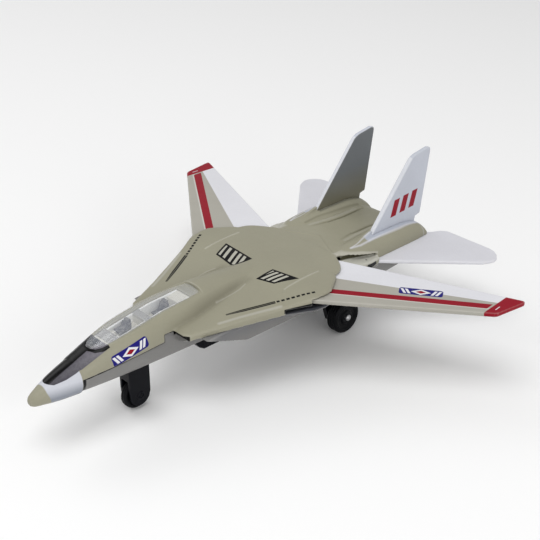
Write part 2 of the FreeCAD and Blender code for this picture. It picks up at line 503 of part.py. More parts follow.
# ------------------------------------------------------------- nose gear
NY, NZ = NOSE_AXLE_Y, NOSE_AXLE_Z
side = prism_x([(-42.2, 12.4), (-35.7, 12.4), (-35.6, 7.0), (-35.7, 3.8), (-36.2, 2.2), (-37.3, 1.1), (-38.7, 0.7), (-40.1, 1.0),
                (-41.3, 2.0), (-41.9, 3.4), (-42.1, 5.6)], -FORK_X1, FORK_X1)
gap = prism_x([(-50.0, -1.0), (-30.0, -1.0), (-30.0, 8.7), (-50.0, 8.7)], -FORK_X0, FORK_X0)
spigot = cyl(1.9, 0, -38.9, 11.5, 5.4, V(0, 0, 1))
belly_at_leg = prism_x([(-42.4, 12.4), (-35.5, 12.4), (-35.5, 11.0), (-42.4, 11.0)], -2.3, 2.3)
bosses = [cyl(1.05, FORK_X1, NY, NZ, 0.2, V(1, 0, 0)), cyl(1.05, -FORK_X1 - 0.2, NY, NZ, 0.2, V(1, 0, 0))]
nose_leg = one(side.fuse(bosses).cut(gap).fuse(spigot).cut(cyl(NOSE_AXLE_R, -6, NY, NZ, 12, V(1, 0, 0))))
nose_axle = cyl(NOSE_AXLE_R, -FORK_X1 - 0.2, NY, NZ, 2 * FORK_X1 + 0.4, V(1, 0, 0))
lower = lower.cut([nose_leg, belly_at_leg])
lower = lower.fuse(Part.makeBox(4.6, 6.9, 3.5, V(-2.3, -42.4, 12.4))).cut(nose_leg)


def nose_wheel_solid():
    r, h = NOSE_WHEEL_R, NOSE_WHEEL_W / 2.0
    bore = NOSE_AXLE_R + 0.06
    prof = [(-h, bore), (-h, 1.6), (-h + 0.25, 1.9), (-h + 0.25, 2.9), (-h, 3.2), (-h, r - 0.5), (-h + 0.4, r), (h - 0.4, r), (h, r - 0.5),
            (h, 3.2), (h - 0.25, 2.9), (h - 0.25, 1.9), (h, 1.6), (h, bore)]
    w = Part.makePolygon([V(x, NY, NZ + q) for x, q in prof] + [V(prof[0][0], NY, NZ + prof[0][1])])
    s = Part.Face(w).revolve(V(0, NY, NZ), V(1, 0, 0), 360)
    return s if s.ShapeType == "Solid" else (s.Solids[0] if s.Solids else Part.Solid(s))


nose_wheel = nose_wheel_solid()

# ------------------------------------------------------ hollow the mouldings
WALL = 1.3
inner = [
    loft([ring(y, 0, 18.2, w - WALL, 26.0, zb + WALL, 0.5, 0.7) for y, w, zb in (
        (-51.0, 5.0, 13.0), (-42.0, 5.5, 12.8), (-32.0, 5.85, 12.6), (-22.0, 6.1, BELLY_Z), (20.0, 6.2, BELLY_Z),
        (36.0, 6.2, 12.7), (43.0, 6.2, 13.8), (51.0, 6.2, 16.4))]),
]
for sx in (1, -1):
    duct_in = loft([poly_ring(y, [(2.5, 26.0), (xo - WALL, 26.0), (xo - WALL, 20.0), (xb1 - 0.5, zb + 1.7), (xb0 + 0.9, zb + 1.7), (2.5, 17.5)])
                    for y, xo, xb0, xb1, zb in ((-6.0, 15.5, 8.0, 12.1, 12.5), (12.0, 15.5, 7.8, 12.4, 12.5), (21.2, 15.4, 7.8, 12.6, 12.9))], True)
    nac_in = loft([ring(y, 10.8, zc, w - WALL, 26.0, zb + WALL, 0.5, 0.8) for y, w, zc, zb in (
        (22.6, 4.7, 18.4, 12.9), (30.0, 4.6, 18.6, 13.2), (42.0, 4.6, 18.8, 13.9), (52.0, 4.45, 19.2, 15.0))])
    for q in (duct_in, nac_in):
        inner.append(q if sx > 0 else mirror_x(q))
keep = [cyl(2.3, x, y, 10.0, 20.0, V(0, 0, 1)) for x, y, z in SCREWS]
keep.append(cyl(3.1, 0, -38.9, 10.0, 8.4, V(0, 0, 1)))
keep += [cyl(PIVOT_PAD_R, sx * PX, PY, 15.0, 10.0, V(0, 0, 1)) for sx in (1, -1)]
for sx in (1, -1):
    keep.append(Part.makeBox(9.8, 15.0, 4.0, V(6.8 if sx > 0 else -16.6, 36.8, 18.4)))
keep += [Part.makeBox(40.0, 1.5, 20.0, V(-20.0, y, 10.0)) for y in (-30.9, 21.1)]
for q in inner:
    q = q.common(seam_down)
    for k in keep:
        q = q.cut(k)
    lower = lower.cut(q)
lower = one(lower)
for box in (Part.makeBox(8.6, 12.6, 6.2, V(-4.3, -20.2, 19.0)), Part.makeBox(10.6, 11.0, 2.6, V(-5.3, 31.6, 20.8))):
    upper = upper.cut(box)
upper = one(upper)

# --------------------------------------------- fastener holes and final trims
lower = one(lower.cut(wells + flange_flat + pins))
upper = one(upper.cut([w for w in wells if w.BoundBox.ZMax > 20.0] + pins))
lower = one(lower.cut(upper))
cockpit_tub = one(cockpit_tub.cut(upper))
canopy = one(canopy.cut(upper).cut(cockpit_tub))

# -------------------------------------------------------------------- export
NODES = {
    "upper_body": upper,
    "lower_body": lower,
    "canopy": canopy,
    "cockpit_tub": cockpit_tub,
    "fin_port": fin_port,
    "fin_starboard": fin_starboard,
    "tailplane_port": tailplane_port,
    "tailplane_starboard": tailplane_starboard,
    "wing_port": wing_port,
    "wing_starboard": wing_starboard,
    "wing_pivot_pins": Part.makeCompound(pins),
    "nose_gear_leg": nose_leg,
    "nose_axle": nose_axle,
    "nose_wheel": nose_wheel,
    "belly_keel": one(belly_keel),
    "main_gear_bracket": main_bracket,
    "main_axle": main_axle,
    "main_wheel_port": main_wheel_port,
    "main_wheel_starboard": main_wheel_starboard,
    "assembly_screws": Part.makeCompound(screws),
}

os.makedirs("parts", exist_ok=True)
whole = None
for name, shape in NODES.items():
    shape = shape.copy()
    shape.translate(V(0, SHIFT_Y, SHIFT_Z))
    shape.exportStep("parts/%s.step" % name)
    b = shape.BoundBox
    whole = b if whole is None else whole
    whole.add(b)
    print("%-22s vol %9.2f solids %d valid %s  x %.2f %.2f  y %.2f %.2f  z %.2f %.2f" % (
        name, shape.Volume, len(shape.Solids), shape.isValid(), b.XMin, b.XMax, b.YMin, b.YMax, b.ZMin, b.ZMax))
print("whole", whole)
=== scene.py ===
import math

import bpy
import bmesh
import numpy as np
from mathutils import Matrix, Vector


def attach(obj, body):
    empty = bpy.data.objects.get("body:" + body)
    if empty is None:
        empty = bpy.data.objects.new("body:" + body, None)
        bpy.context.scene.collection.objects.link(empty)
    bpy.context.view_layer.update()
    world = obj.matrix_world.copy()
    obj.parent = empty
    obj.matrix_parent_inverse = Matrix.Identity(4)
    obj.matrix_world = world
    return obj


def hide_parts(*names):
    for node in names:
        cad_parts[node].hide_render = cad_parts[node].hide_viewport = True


# Toy swing-wing jet.  Lengths below are millimetres in the layout frame of the
# CAD source, which is the row frame moved by SHIFT_Y and SHIFT_Z; meshes are
# built there and brought into the row frame in metres when they are finished.
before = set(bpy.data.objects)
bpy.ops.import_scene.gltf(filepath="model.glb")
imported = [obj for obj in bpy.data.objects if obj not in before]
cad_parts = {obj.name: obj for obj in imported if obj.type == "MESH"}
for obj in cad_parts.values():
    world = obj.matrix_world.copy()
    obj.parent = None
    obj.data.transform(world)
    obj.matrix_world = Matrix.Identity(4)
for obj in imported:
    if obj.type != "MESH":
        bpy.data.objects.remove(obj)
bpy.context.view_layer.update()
SHIFT_Y = 2.875
SHIFT_Z = 0.5
S = bpy.context.scene


# ------------------------------------------------------------------ camera
cam_data = bpy.data.cameras.new("camera")
cam = bpy.data.objects.new("camera", cam_data)
S.collection.objects.link(cam)
AZ, EL = math.radians(46.5), math.radians(28.5)
back = Vector((math.sin(AZ) * math.cos(EL), -math.cos(AZ) * math.cos(EL), math.sin(EL)))
right = Vector((math.cos(AZ), math.sin(AZ), 0.0))
up = back.cross(right)
rot = Matrix((right, up, back)).transposed()
cam.matrix_world = Matrix.Translation((0.207655, -0.185545, 0.177550)) @ rot.to_4x4()
cam_data.sensor_width = 36.0
cam_data.lens = 79.294
cam_data.clip_start = 0.01
cam_data.clip_end = 20.0
S.camera = cam
S.view_settings.view_transform = "Standard"
S.view_settings.look = "None"


# ------------------------------------------------------------- node helper
def lin(hexcode):
    c = [int(hexcode[i:i + 2], 16) / 255.0 for i in (1, 3, 5)]
    return tuple((v / 12.92 if v <= 0.04045 else ((v + 0.055) / 1.055) ** 2.4) for v in c) + (1.0,)


class Graph:
    """A small writer of shader graphs.  P is the place on the object in millimetres, N its normal."""

    def __init__(self, name):
        self.mat = bpy.data.materials.new(name)
        self.mat.use_nodes = True
        self.t = self.mat.node_tree
        self.t.nodes.clear()
        self.out = self.t.nodes.new("ShaderNodeOutputMaterial")
        self.bsdf = self.t.nodes.new("ShaderNodeBsdfPrincipled")
        self.link(self.bsdf.outputs["BSDF"], self.out.inputs["Surface"])
        tc = self.t.nodes.new("ShaderNodeTexCoord")
        self.P = self.vec("MULTIPLY_ADD", tc.outputs["Object"], (1000.0,) * 3, (0.0, -SHIFT_Y, -SHIFT_Z))
        self.N = tc.outputs["Normal"]
        self.geo = None
        self._xyz, self._nxyz = None, None

    def link(self, a, b):
        self.t.links.new(a, b)

    def put(self, sock, v):
        if isinstance(v, bpy.types.NodeSocket):
            self.link(v, sock)
        elif v is not None:
            sock.default_value = v

    def vec(self, op, a, b=None, c=None):
        n = self.t.nodes.new("ShaderNodeVectorMath")
        n.operation = op
        for i, v in enumerate((a, b, c)):
            if v is not None:
                self.put(n.inputs[i], v)
        return n.outputs["Value"] if op in ("DOT_PRODUCT", "LENGTH", "DISTANCE") else n.outputs["Vector"]

    def m(self, op, a, b=None, c=None, clamp=False):
        n = self.t.nodes.new("ShaderNodeMath")
        n.operation = op
        n.use_clamp = clamp
        for i, v in enumerate((a, b, c)):
            if v is not None:
                self.put(n.inputs[i], v)
        return n.outputs[0]

    def xyz(self):
        if self._xyz is None:
            n = self.t.nodes.new("ShaderNodeSeparateXYZ")
            self.link(self.P, n.inputs[0])
            self._xyz = tuple(n.outputs)
        return self._xyz

    def nxyz(self):
        if self._nxyz is None:
            n = self.t.nodes.new("ShaderNodeSeparateXYZ")
            self.link(self.N, n.inputs[0])
            self._nxyz = tuple(n.outputs)
        return self._nxyz

    def combine(self, x, y, z):
        n = self.t.nodes.new("ShaderNodeCombineXYZ")
        for i, v in enumerate((x, y, z)):
            self.put(n.inputs[i], v)
        return n.outputs[0]

    def least(self, *ds):
        d = ds[0]
        for e in ds[1:]:
            d = self.m("MINIMUM", d, e)
        return d

    def most(self, *ds):
        d = ds[0]
        for e in ds[1:]:
            d = self.m("MAXIMUM", d, e)
        return d

    def half(self, P, n, a):
        """Distance to the side of a line or plane through a that n points to."""
        return self.m("SUBTRACT", self.vec("DOT_PRODUCT", P, tuple(n)), float(sum(p * q for p, q in zip(n, a))))

    def poly(self, P, pts):
        """Signed distance into a convex polygon of the plane (P.x, P.y)."""
        area = sum(pts[i][0] * pts[(i + 1) % len(pts)][1] - pts[(i + 1) % len(pts)][0] * pts[i][1] for i in range(len(pts)))
        if area < 0:
            pts = pts[::-1]
        ds = []
        for i, a in enumerate(pts):
            b = pts[(i + 1) % len(pts)]
            ex, ey = b[0] - a[0], b[1] - a[1]
            ln = math.hypot(ex, ey)
            ds.append(self.half(P, (-ey / ln, ex / ln, 0.0), (a[0], a[1], 0.0)))
        return self.least(*ds)

    def path(self, P, pts):
        """Distance from a polyline of the plane (P.x, P.y)."""
        best = None
        for (ax, ay), (bx, by) in zip(pts, pts[1:]):
            ln = math.hypot(bx - ax, by - ay)
            ux, uy = (bx - ax) / ln, (by - ay) / ln
            along = self.half(P, (ux, uy, 0.0), (ax, ay, 0.0))
            over = self.m("MAXIMUM", self.m("MULTIPLY", along, -1.0), self.m("SUBTRACT", along, ln))
            over = self.m("MAXIMUM", over, 0.0)
            off = self.m("ABSOLUTE", self.half(P, (-uy, ux, 0.0), (ax, ay, 0.0)))
            d = self.m("SQRT", self.m("ADD", self.m("MULTIPLY", over, over), self.m("MULTIPLY", off, off)))
            best = d if best is None else self.m("MINIMUM", best, d)
        return best

    def step(self, d, w=0.07):
        return self.m("MULTIPLY_ADD", d, 1.0 / w, 0.5, clamp=True)

    def both(self, *ms):
        v = ms[0]
        for q in ms[1:]:
            v = self.m("MULTIPLY", v, q)
        return v

    def mix(self, f, a, b):
        n = self.t.nodes.new("ShaderNodeMix")
        n.data_type = "RGBA"
        n.clamp_factor = True
        self.put(n.inputs[0], f)
        self.put(n.inputs[6], a)
        self.put(n.inputs[7], b)
        return n.outputs[2]

    def noise(self, scale, detail=3.0, rough=0.55, P=None, dist=0.0):
        n = self.t.nodes.new("ShaderNodeTexNoise")
        self.link(P or self.P, n.inputs["Vector"])
        n.inputs["Scale"].default_value = scale
        n.inputs["Detail"].default_value = detail
        n.inputs["Roughness"].default_value = rough
        n.inputs["Distortion"].default_value = dist
        return n.outputs["Fac"]

    def remap(self, v, a, b, c, d):
        n = self.t.nodes.new("ShaderNodeMapRange")
        self.put(n.inputs[0], v)
        for i, q in enumerate((a, b, c, d)):
            n.inputs[i + 1].default_value = q
        return n.outputs[0]

    def edges(self):
        """Convexity of the surface from the mesh: 0 flat, above it on edges, below it in creases."""
        if self.geo is None:
            n = self.t.nodes.new("ShaderNodeAttribute")
            n.attribute_name = "wear_and_shade"
            self.geo = n.outputs["Fac"]
        return self.geo

    def shade(self, colour, value):
        """Multiplies a colour by a grey value."""
        n = self.t.nodes.new("ShaderNodeMix")
        n.data_type = "RGBA"
        n.blend_type = "MULTIPLY"
        n.inputs[0].default_value = 1.0
        self.put(n.inputs[6], colour)
        self.put(n.inputs[7], value)
        return n.outputs[2]

    def bump(self, *layers):
        """Chained bumps, each (height socket, height in millimetres)."""
        last = None
        for h, mm in layers:
            n = self.t.nodes.new("ShaderNodeBump")
            n.inputs["Strength"].default_value = 1.0
            n.inputs["Distance"].default_value = mm / 1000.0
            self.link(h, n.inputs["Height"])
            if last is not None:
                self.link(last, n.inputs["Normal"])
            last = n.outputs["Normal"]
        self.link(last, self.bsdf.inputs["Normal"])

    def finish(self, colour, rough, coat=0.0, coat_rough=0.1, spec=0.5, metal=0.0):
        b = self.bsdf.inputs
        self.put(b["Base Color"], colour)
        self.put(b["Roughness"], rough)
        b["Metallic"].default_value = metal
        b["Specular IOR Level"].default_value = spec
        b["Coat Weight"].default_value = coat
        b["Coat Roughness"].default_value = coat_rough
        return self.mat


TAN = "#a09d8a"
GREY_LOW = "#898886"
WING_GREY = "#b3b0a6"
WHITE = "#e9e9ee"
RED = "#970420"
NAVY = "#1c1878"
INK = "#020204"


def paint(g, colour, edge=0.30, crease_shade=0.45, orange_peel=0.006):
    """Sprayed enamel over a casting: tone drift, light edges where the paint is thin plus a painted highlight there,
    painted shade in the creases, orange peel.
    """
    drift = g.remap(g.noise(0.055, 4.0), 0.3, 0.7, 0.84, 0.91)
    fine = g.remap(g.noise(1.9, 2.0), 0.3, 0.7, 0.985, 1.015)
    tone = g.m("MULTIPLY", drift, fine)
    colour = g.shade(colour, g.combine(tone, tone, tone))
    e = g.edges()
    # edges are lightened for paint worn thin and as a painted highlight; creases get a painted shade
    colour = g.mix(g.m("MULTIPLY", g.remap(e, 0.10, 0.55, 0.0, 1.0), edge), colour, lin("#e6e5df"))
    colour = g.mix(g.m("MULTIPLY", g.remap(e, -0.08, -0.50, 0.0, 1.0), crease_shade), colour, lin("#3a3832"))
    peel = g.noise(2.6, 2.0, 0.5)
    ripple = g.noise(0.35, 2.0, 0.5)
    g.bump((ripple, orange_peel * 4.0), (peel, orange_peel))
    rough = g.remap(g.noise(0.4, 4.0), 0.25, 0.75, 0.27, 0.39)
    return colour, rough


def badge(g, P, centre, e1, e2, length, height):
    """Plain rounded label: navy field, white slashes either side of a white and red rhombus."""
    rel = g.vec("SUBTRACT", P, tuple(centre))
    u = g.vec("DOT_PRODUCT", rel, tuple(e1))
    v = g.vec("DOT_PRODUCT", rel, tuple(e2))
    U = g.combine(u, v, 0.0)
    au = g.m("ABSOLUTE", u)
    av = g.m("ABSOLUTE", v)
    hl, hh, r = length / 2.0, height / 2.0, height * 0.22
    # rounded box
    qx = g.m("MAXIMUM", g.m("SUBTRACT", au, hl - r), 0.0)
    qy = g.m("MAXIMUM", g.m("SUBTRACT", av, hh - r), 0.0)
    box = g.m("SUBTRACT", r, g.m("SQRT", g.m("ADD", g.m("MULTIPLY", qx, qx), g.m("MULTIPLY", qy, qy))))
    rhomb = lambda a, b: g.m("SUBTRACT", b, g.m("ADD", g.m("MULTIPLY", au, b / a), av))
    su = g.m("ADD", au, g.m("MULTIPLY", v, -0.45))
    slash = g.least(g.m("SUBTRACT", hh - 0.50, av),
                    g.m("SUBTRACT", 0.36, g.m("ABSOLUTE", g.m("SUBTRACT", su, hl * 0.60))))
    slash2 = g.least(g.m("SUBTRACT", hh - 0.50, av),
                     g.m("SUBTRACT", 0.36, g.m("ABSOLUTE", g.m("SUBTRACT", su, hl * 0.80))))
    white = g.most(slash, slash2, rhomb(hl * 0.46, hh - 0.22))
    red = rhomb(hl * 0.25, (hh - 0.2) * 0.52)
    return box, white, red


def lay(g, colour, mask, hexcode):
    return g.mix(mask, colour, lin(hexcode))


# --------------------------------------------------------------- materials
SEAM = [(-57.0, 17.7), (-33.4, 19.1), (-33.4, 21.3), (-30.0, 21.3), (-30.0, 20.2)]


def seam_mask(g, half_width):
    """Dark line where the two halves of the body meet."""
    x, y, z = g.xyz()
    ds = []
    for (y0, z0), (y1, z1) in zip(SEAM, SEAM[1:]):
        ey, ez = y1 - y0, z1 - z0
        ln = math.hypot(ey, ez)
        ey, ez = ey / ln, ez / ln
        across = g.m("ABSOLUTE", g.half(g.P, (0.0, -ez, ey), (0.0, y0, z0)))
        along = g.half(g.P, (0.0, ey, ez), (0.0, y0, z0))
        ends = g.least(g.m("ADD", along, half_width), g.m("SUBTRACT", ln + half_width, along))
        ds.append(g.least(g.m("SUBTRACT", half_width, across), ends))
    return g.step(g.most(*ds), 0.09)


def mat_upper():
    g = Graph("enamel_upper")
    x, y, z = g.xyz()
    nx, ny, nz = g.nxyz()
    ax = g.m("ABSOLUTE", x)
    A = g.combine(ax, y, z)
    side = g.m("ABSOLUTE", nx)
    top = g.step(g.m("SUBTRACT", nz, 0.45), 0.15)
    c = lin(TAN)
    # white band of the nose cone, greyer toward the keel
    front = g.m("ADD", y, g.m("ADD", 66.15, g.m("MULTIPLY", g.m("MINIMUM", g.m("SUBTRACT", z, 17.3), 0.0), 0.3)))
    band = g.both(g.step(front, 0.25), g.step(g.m("SUBTRACT", -57.42, y), 0.10), g.step(g.m("SUBTRACT", z, 13.6), 1.4))
    c = g.mix(band, c, g.mix(g.remap(z, 15.2, 18.0, 0.0, 1.0), lin("#9398a2"), lin("#d3d5dd")))
    # black panel ahead of the windshield; its lower edge climbs toward the canopy
    zb = g.most(g.m("MULTIPLY_ADD", y, 0.17, 18.54 + 63.84 * 0.17), g.m("MULTIPLY_ADD", y, 0.28, 19.01 + 61.05 * 0.28),
                g.m("MULTIPLY_ADD", y, 0.352, 19.92 + 57.9 * 0.352))
    tipcut = g.m("SUBTRACT", g.m("ADD", y, 65.4), g.m("MULTIPLY", g.m("MULTIPLY", x, x), 0.30))
    panel = g.both(g.step(g.m("SUBTRACT", z, zb), 0.08), g.step(tipcut, 0.1), g.step(g.m("SUBTRACT", -48.5, y), 0.1))
    # the grey on the black panel's port flank is a painted reflection of the port light; the starboard flank stays
    # black
    painted_light_flank = g.step(g.m("SUBTRACT", x, g.m("MAXIMUM", g.m("MULTIPLY_ADD", y, -0.042, 1.28 - 0.042 * 63.0), 0.85)), 0.28)
    plan = g.combine(ax, y, 0.0)
    foot = g.m("SUBTRACT", 0.42, g.path(plan, [(0.6, -52.9), (2.5, -51.9), (3.35, -50.3), (3.75, -48.6)]))
    painted_light_flank = g.m("MULTIPLY", painted_light_flank, g.m("SUBTRACT", 1.0, g.step(foot, 0.12)))
    grain = g.remap(g.noise(1.5, 3.0), 0.3, 0.7, 0.85, 1.15)
    reflection_grey = g.mix(g.remap(y, -64.0, -50.0, 0.0, 1.0), lin("#47454d"), lin("#77747b"))
    black = g.mix(painted_light_flank, lin("#010102"), g.shade(reflection_grey, g.combine(grain, grain, grain)))
    c = g.mix(panel, c, black)
    # plain label on both sides of the nose
    a = math.radians(12.0)
    b_box, b_white, b_red = badge(g, A, (0.0, -43.9, 20.82), (0.0, math.cos(a), math.sin(a)), (0.0, -math.sin(a), math.cos(a)), 10.6, 3.1)
    on_side = g.step(g.m("SUBTRACT", side, 0.55), 0.2)
    c = lay(g, c, g.both(g.step(b_box), on_side), NAVY)
    c = lay(g, c, g.both(g.step(b_white), on_side), "#efeff2")
    c = lay(g, c, g.both(g.step(b_red), on_side), RED)
    # louvre grilles: outlined quadrilaterals with pale slots along the outboard side
    for quad, skew, mids, w in (([(6.5, -2.65), (6.55, 3.4), (15.0, 4.95), (11.8, -1.15)], 0.20, (6.67, 8.10, 9.60, 11.20), 0.42),
                                ([(-2.4, -2.65), (-1.5, 3.45), (-13.3, 4.45), (-11.0, -1.3)], -0.46, (-10.57, -8.52, -6.16, -4.25, -2.45), 0.52)):
        d = g.poly(g.P, quad)
        across = g.m("SUBTRACT", x, g.m("MULTIPLY", y, skew))
        slot = None
        for mid in mids:
            q = g.m("SUBTRACT", w, g.m("ABSOLUTE", g.m("SUBTRACT", across, mid)))
            slot = q if slot is None else g.m("MAXIMUM", slot, q)
        inner = g.m("SUBTRACT", d, 0.60)
        pale = g.both(g.step(inner), g.step(slot), top)
        ink = g.both(g.step(d), g.m("SUBTRACT", 1.0, g.both(g.step(inner), g.step(slot))), top)
        c = lay(g, c, g.m("MULTIPLY", pale, 0.6), "#cfcec4")
        c = lay(g, c, ink, INK)
    # tapered speed lines and a row of plain dashes along each glove
    p0, p1, p2 = (11.95, -18.1), (17.75, -6.2), (22.75, 3.4)
    L1 = math.hypot(p1[0] - p0[0], p1[1] - p0[1])
    ux, uy = (p1[0] - p0[0]) / L1, (p1[1] - p0[1]) / L1
    s1 = g.half(A, (ux, uy, 0.0), (p0[0], p0[1], 0.0))
    t1 = g.half(A, (-uy, ux, 0.0), (p0[0], p0[1], 0.0))
    wide = g.m("MINIMUM", g.m("MULTIPLY_ADD", s1, 0.05, 0.26), 0.5)
    taper = g.least(s1, g.m("SUBTRACT", L1 - 0.1, s1), g.m("SUBTRACT", wide, g.m("ABSOLUTE", t1)))
    core = g.m("SUBTRACT", 0.11, g.m("ABSOLUTE", t1))
    c = lay(g, c, g.both(g.step(taper), g.m("SUBTRACT", 1.0, g.m("MULTIPLY", g.step(core, 0.12), 0.4)), top), "#1d1c1a")
    L2 = math.hypot(p2[0] - p1[0], p2[1] - p1[1])
    vx, vy = (p2[0] - p1[0]) / L2, (p2[1] - p1[1]) / L2
    s2 = g.half(A, (vx, vy, 0.0), (p1[0], p1[1], 0.0))
    t2 = g.half(A, (-vy, vx, 0.0), (p1[0], p1[1], 0.0))
    dash = g.m("ABSOLUTE", g.m("SUBTRACT", g.m("FRACT", g.m("DIVIDE", g.m("ADD", s2, 0.1), 1.36)), 0.5))
    dash = g.m("MULTIPLY", g.m("SUBTRACT", 0.33, dash), 1.36)
    row = g.least(g.m("SUBTRACT", 0.36, g.m("ABSOLUTE", t2)), g.m("SUBTRACT", s2, 0.25), g.m("SUBTRACT", L2, s2), dash)
    c = lay(g, c, g.both(g.step(row), top), INK)
    # painted highlight lines on the small ridges, and light lines round the fins
    ridge_highlight = g.least(g.m("SUBTRACT", 0.26, g.m("ABSOLUTE", g.m("SUBTRACT", ax, 15.7))), g.m("ADD", y, 1.2), g.m("SUBTRACT", 11.6, y))
    c = lay(g, c, g.both(g.step(ridge_highlight, 0.4), top, 0.28), "#dedcd0")
    # the fins' flared feet: outer side white-grey with a white border, inner side dark
    high = g.step(g.m("SUBTRACT", z, 24.4), 0.2)
    foot_y = g.least(g.m("SUBTRACT", y, 34.2), g.m("SUBTRACT", 57.6, y))
    outer = g.least(g.m("SUBTRACT", ax, 10.9), g.m("SUBTRACT", 13.05, ax), foot_y)
    c = lay(g, c, g.both(g.step(outer, 0.4), high), "#b9bec9")
    rim = g.m("SUBTRACT", 0.30, g.path(plan, [(11.9, 28.1), (12.75, 31.1), (12.85, 34.6), (13.1, 41.2), (13.25, 47.0), (12.9, 53.5), (11.9, 57.6)]))
    c = lay(g, c, g.both(g.step(rim, 0.45), high, 0.65), "#dcdce3")
    # painted highlight along the edge of the strake ahead of each fin
    strake_highlight = g.m("SUBTRACT", 0.20, g.path(plan, [(11.85, 28.1), (11.75, 30.4), (11.3, 33.3), (11.1, 36.2)]))
    c = lay(g, c, g.both(g.step(strake_highlight, 0.2), g.step(g.m("SUBTRACT", z, 25.2), 0.2), 0.6), "#d8d8dc")
    inner_foot = g.least(g.m("SUBTRACT", ax, 9.15), g.m("SUBTRACT", 10.6, ax), g.m("SUBTRACT", y, 37.6), g.m("SUBTRACT", 58.0, y))
    c = lay(g, c, g.both(g.step(inner_foot, 0.7), high, 0.75), "#6f6e64")
    # painted shade in the valley beside each engine tube, a painted highlight on its crest and a painted shade line
    # along its shoulder
    valley_shade = g.m("SUBTRACT", 0.34, g.path(plan, [(5.9, 30.5), (5.2, 34.0), (4.9, 36.5), (4.75, 40.0), (4.65, 43.0), (5.0, 47.2), (5.45, 51.5)]))
    c = lay(g, c, g.both(g.step(valley_shade, 0.6), high, g.remap(y, 29.5, 40.0, 0.1, 0.7)), "#5f5c45")
    crest_highlight = g.m("SUBTRACT", 0.35, g.path(plan, [(6.9, 31.0), (6.3, 36.0), (5.95, 42.0), (6.2, 49.0)]))
    c = lay(g, c, g.both(g.step(crest_highlight, 0.9), high, 0.30), "#c9c8c0")
    shoulder_shade = g.m("SUBTRACT", 0.22, g.path(plan, [(8.3, 30.5), (8.25, 35.2), (7.8, 40.2), (7.55, 46.0), (7.3, 51.8)]))
    c = lay(g, c, g.both(g.step(shoulder_shade, 0.5), high, 0.45), "#6b6852")
    # painted shadow in the slit above the shelf behind each wing, with a painted highlight along its upper edge and on
    # the shelf top
    zt = g.least(g.m("MULTIPLY_ADD", y, -0.117, 25.3 + 0.117 * 22.3), g.m("MULTIPLY_ADD", y, -0.27, 24.4 + 0.27 * 29.9))
    shelf_z = g.m("MULTIPLY_ADD", y, -0.0945, 23.9 + 0.0945 * 22.5)
    zone = g.least(g.m("SUBTRACT", y, 22.3), g.m("SUBTRACT", 35.3, y), g.m("SUBTRACT", ax, 10.9), g.m("SUBTRACT", 17.4, ax))
    slit_shadow = g.least(g.m("SUBTRACT", zt, z), g.m("SUBTRACT", z, shelf_z), zone)
    c = lay(g, c, g.both(g.step(slit_shadow, 0.1), 0.92), "#38351f")
    edge = g.least(g.m("SUBTRACT", z, zt), g.m("SUBTRACT", g.m("ADD", zt, 0.7), z), g.m("ADD", zone, 0.3))
    c = lay(g, c, g.both(g.step(edge, 0.35), 0.5), "#d0cec4")
    shelf_highlight = g.least(g.m("SUBTRACT", shelf_z, z), g.m("SUBTRACT", z, g.m("SUBTRACT", shelf_z, 1.1)), zone)
    c = lay(g, c, g.both(g.step(shelf_highlight, 0.4), 0.7), "#d3d2c9")
    YZ = g.combine(y, z, 0.0)
    # painted shade standing in for a dark hole below the shelf
    under_shade = g.least(g.poly(YZ, [(29.4, 22.2), (33.3, 21.9), (33.6, 20.9), (31.2, 20.6), (29.2, 21.2)]), g.m("SUBTRACT", ax, 16.2))
    c = lay(g, c, g.step(under_shade, 0.2), "#0c0c0b")
    ring = g.least(g.m("SUBTRACT", 0.2, g.m("ABSOLUTE", g.m("SUBTRACT", y, 55.5))), g.m("SUBTRACT", ax, 13.2))
    c = lay(g, c, g.both(g.step(ring, 0.35), 0.35), "#d8d8da")
    # shaded foot of the spine beside the canopy fairing
    lee = g.m("SUBTRACT", 0.75, g.path(plan, [(7.0, -33.0), (6.9, -26.0), (6.35, -20.5), (5.95, -16.0), (5.5, -12.5), (5.1, -8.5), (5.0, -4.0)]))
    c = lay(g, c, g.both(g.step(lee, 1.9), g.remap(y, -36.0, -22.0, 0.0, 1.0), g.remap(y, 2.0, -9.0, 0.0, 1.0), g.step(g.m("SUBTRACT", z, 21.5), 1.0), 0.36), "#565143")
    # thin light line along the spine's edge: worn paint with a painted highlight
    worn_and_lit = g.m("SUBTRACT", 0.16, g.path(plan, [(6.45, -16.5), (6.5, -13.0), (6.65, -10.5), (6.6, -8.4), (6.0, -6.0)]))
    c = lay(g, c, g.both(g.step(worn_and_lit, 0.35), top, 0.3), "#d6d4cb")
    # painted highlight along the glove rim and painted shadow in the slot the wing root swings through
    rim_highlight = g.m("SUBTRACT", 0.42, g.path(plan, [(13.3, -21.6), (15.3, -16.6), (17.6, -11.6), (20.0, -6.6)]))
    c = lay(g, c, g.both(g.step(rim_highlight, 0.5), top, 0.4), "#cfcdc6")
    slot = g.least(g.m("SUBTRACT", ax, 20.0), g.m("SUBTRACT", g.m("MULTIPLY_ADD", y, 0.075, 24.42), z), g.m("ADD", y, 6.3), g.m("SUBTRACT", 0.6, y),
                   g.m("SUBTRACT", z, 22.65), g.m("SUBTRACT", side, 0.4))
    c = lay(g, c, g.step(slot, 0.1), "#050506")
    c, rough = paint(g, c)
    c = lay(g, c, seam_mask(g, 0.27), "#020203")
    # painted shadow in the gap between the nose cone and the lower body
    gap_shadow = g.least(g.m("ADD", y, 57.36), g.m("SUBTRACT", -55.8, y), g.m("SUBTRACT", 17.75, z))
    c = lay(g, c, g.step(gap_shadow, 0.08), "#060607")
    # painted shade standing in for a small hole
    hole_shade = g.m("SUBTRACT", 0.30, g.vec("DISTANCE", A, (15.7, 30.4, 22.84)))
    c = lay(g, c, g.both(g.step(hole_shade, 0.1), 0.9), "#141410")
    rough = g.m("MULTIPLY", rough, g.m("SUBTRACT", 1.0, g.m("MULTIPLY", panel, 0.25)))
    return g.finish(c, rough, spec=0.14)


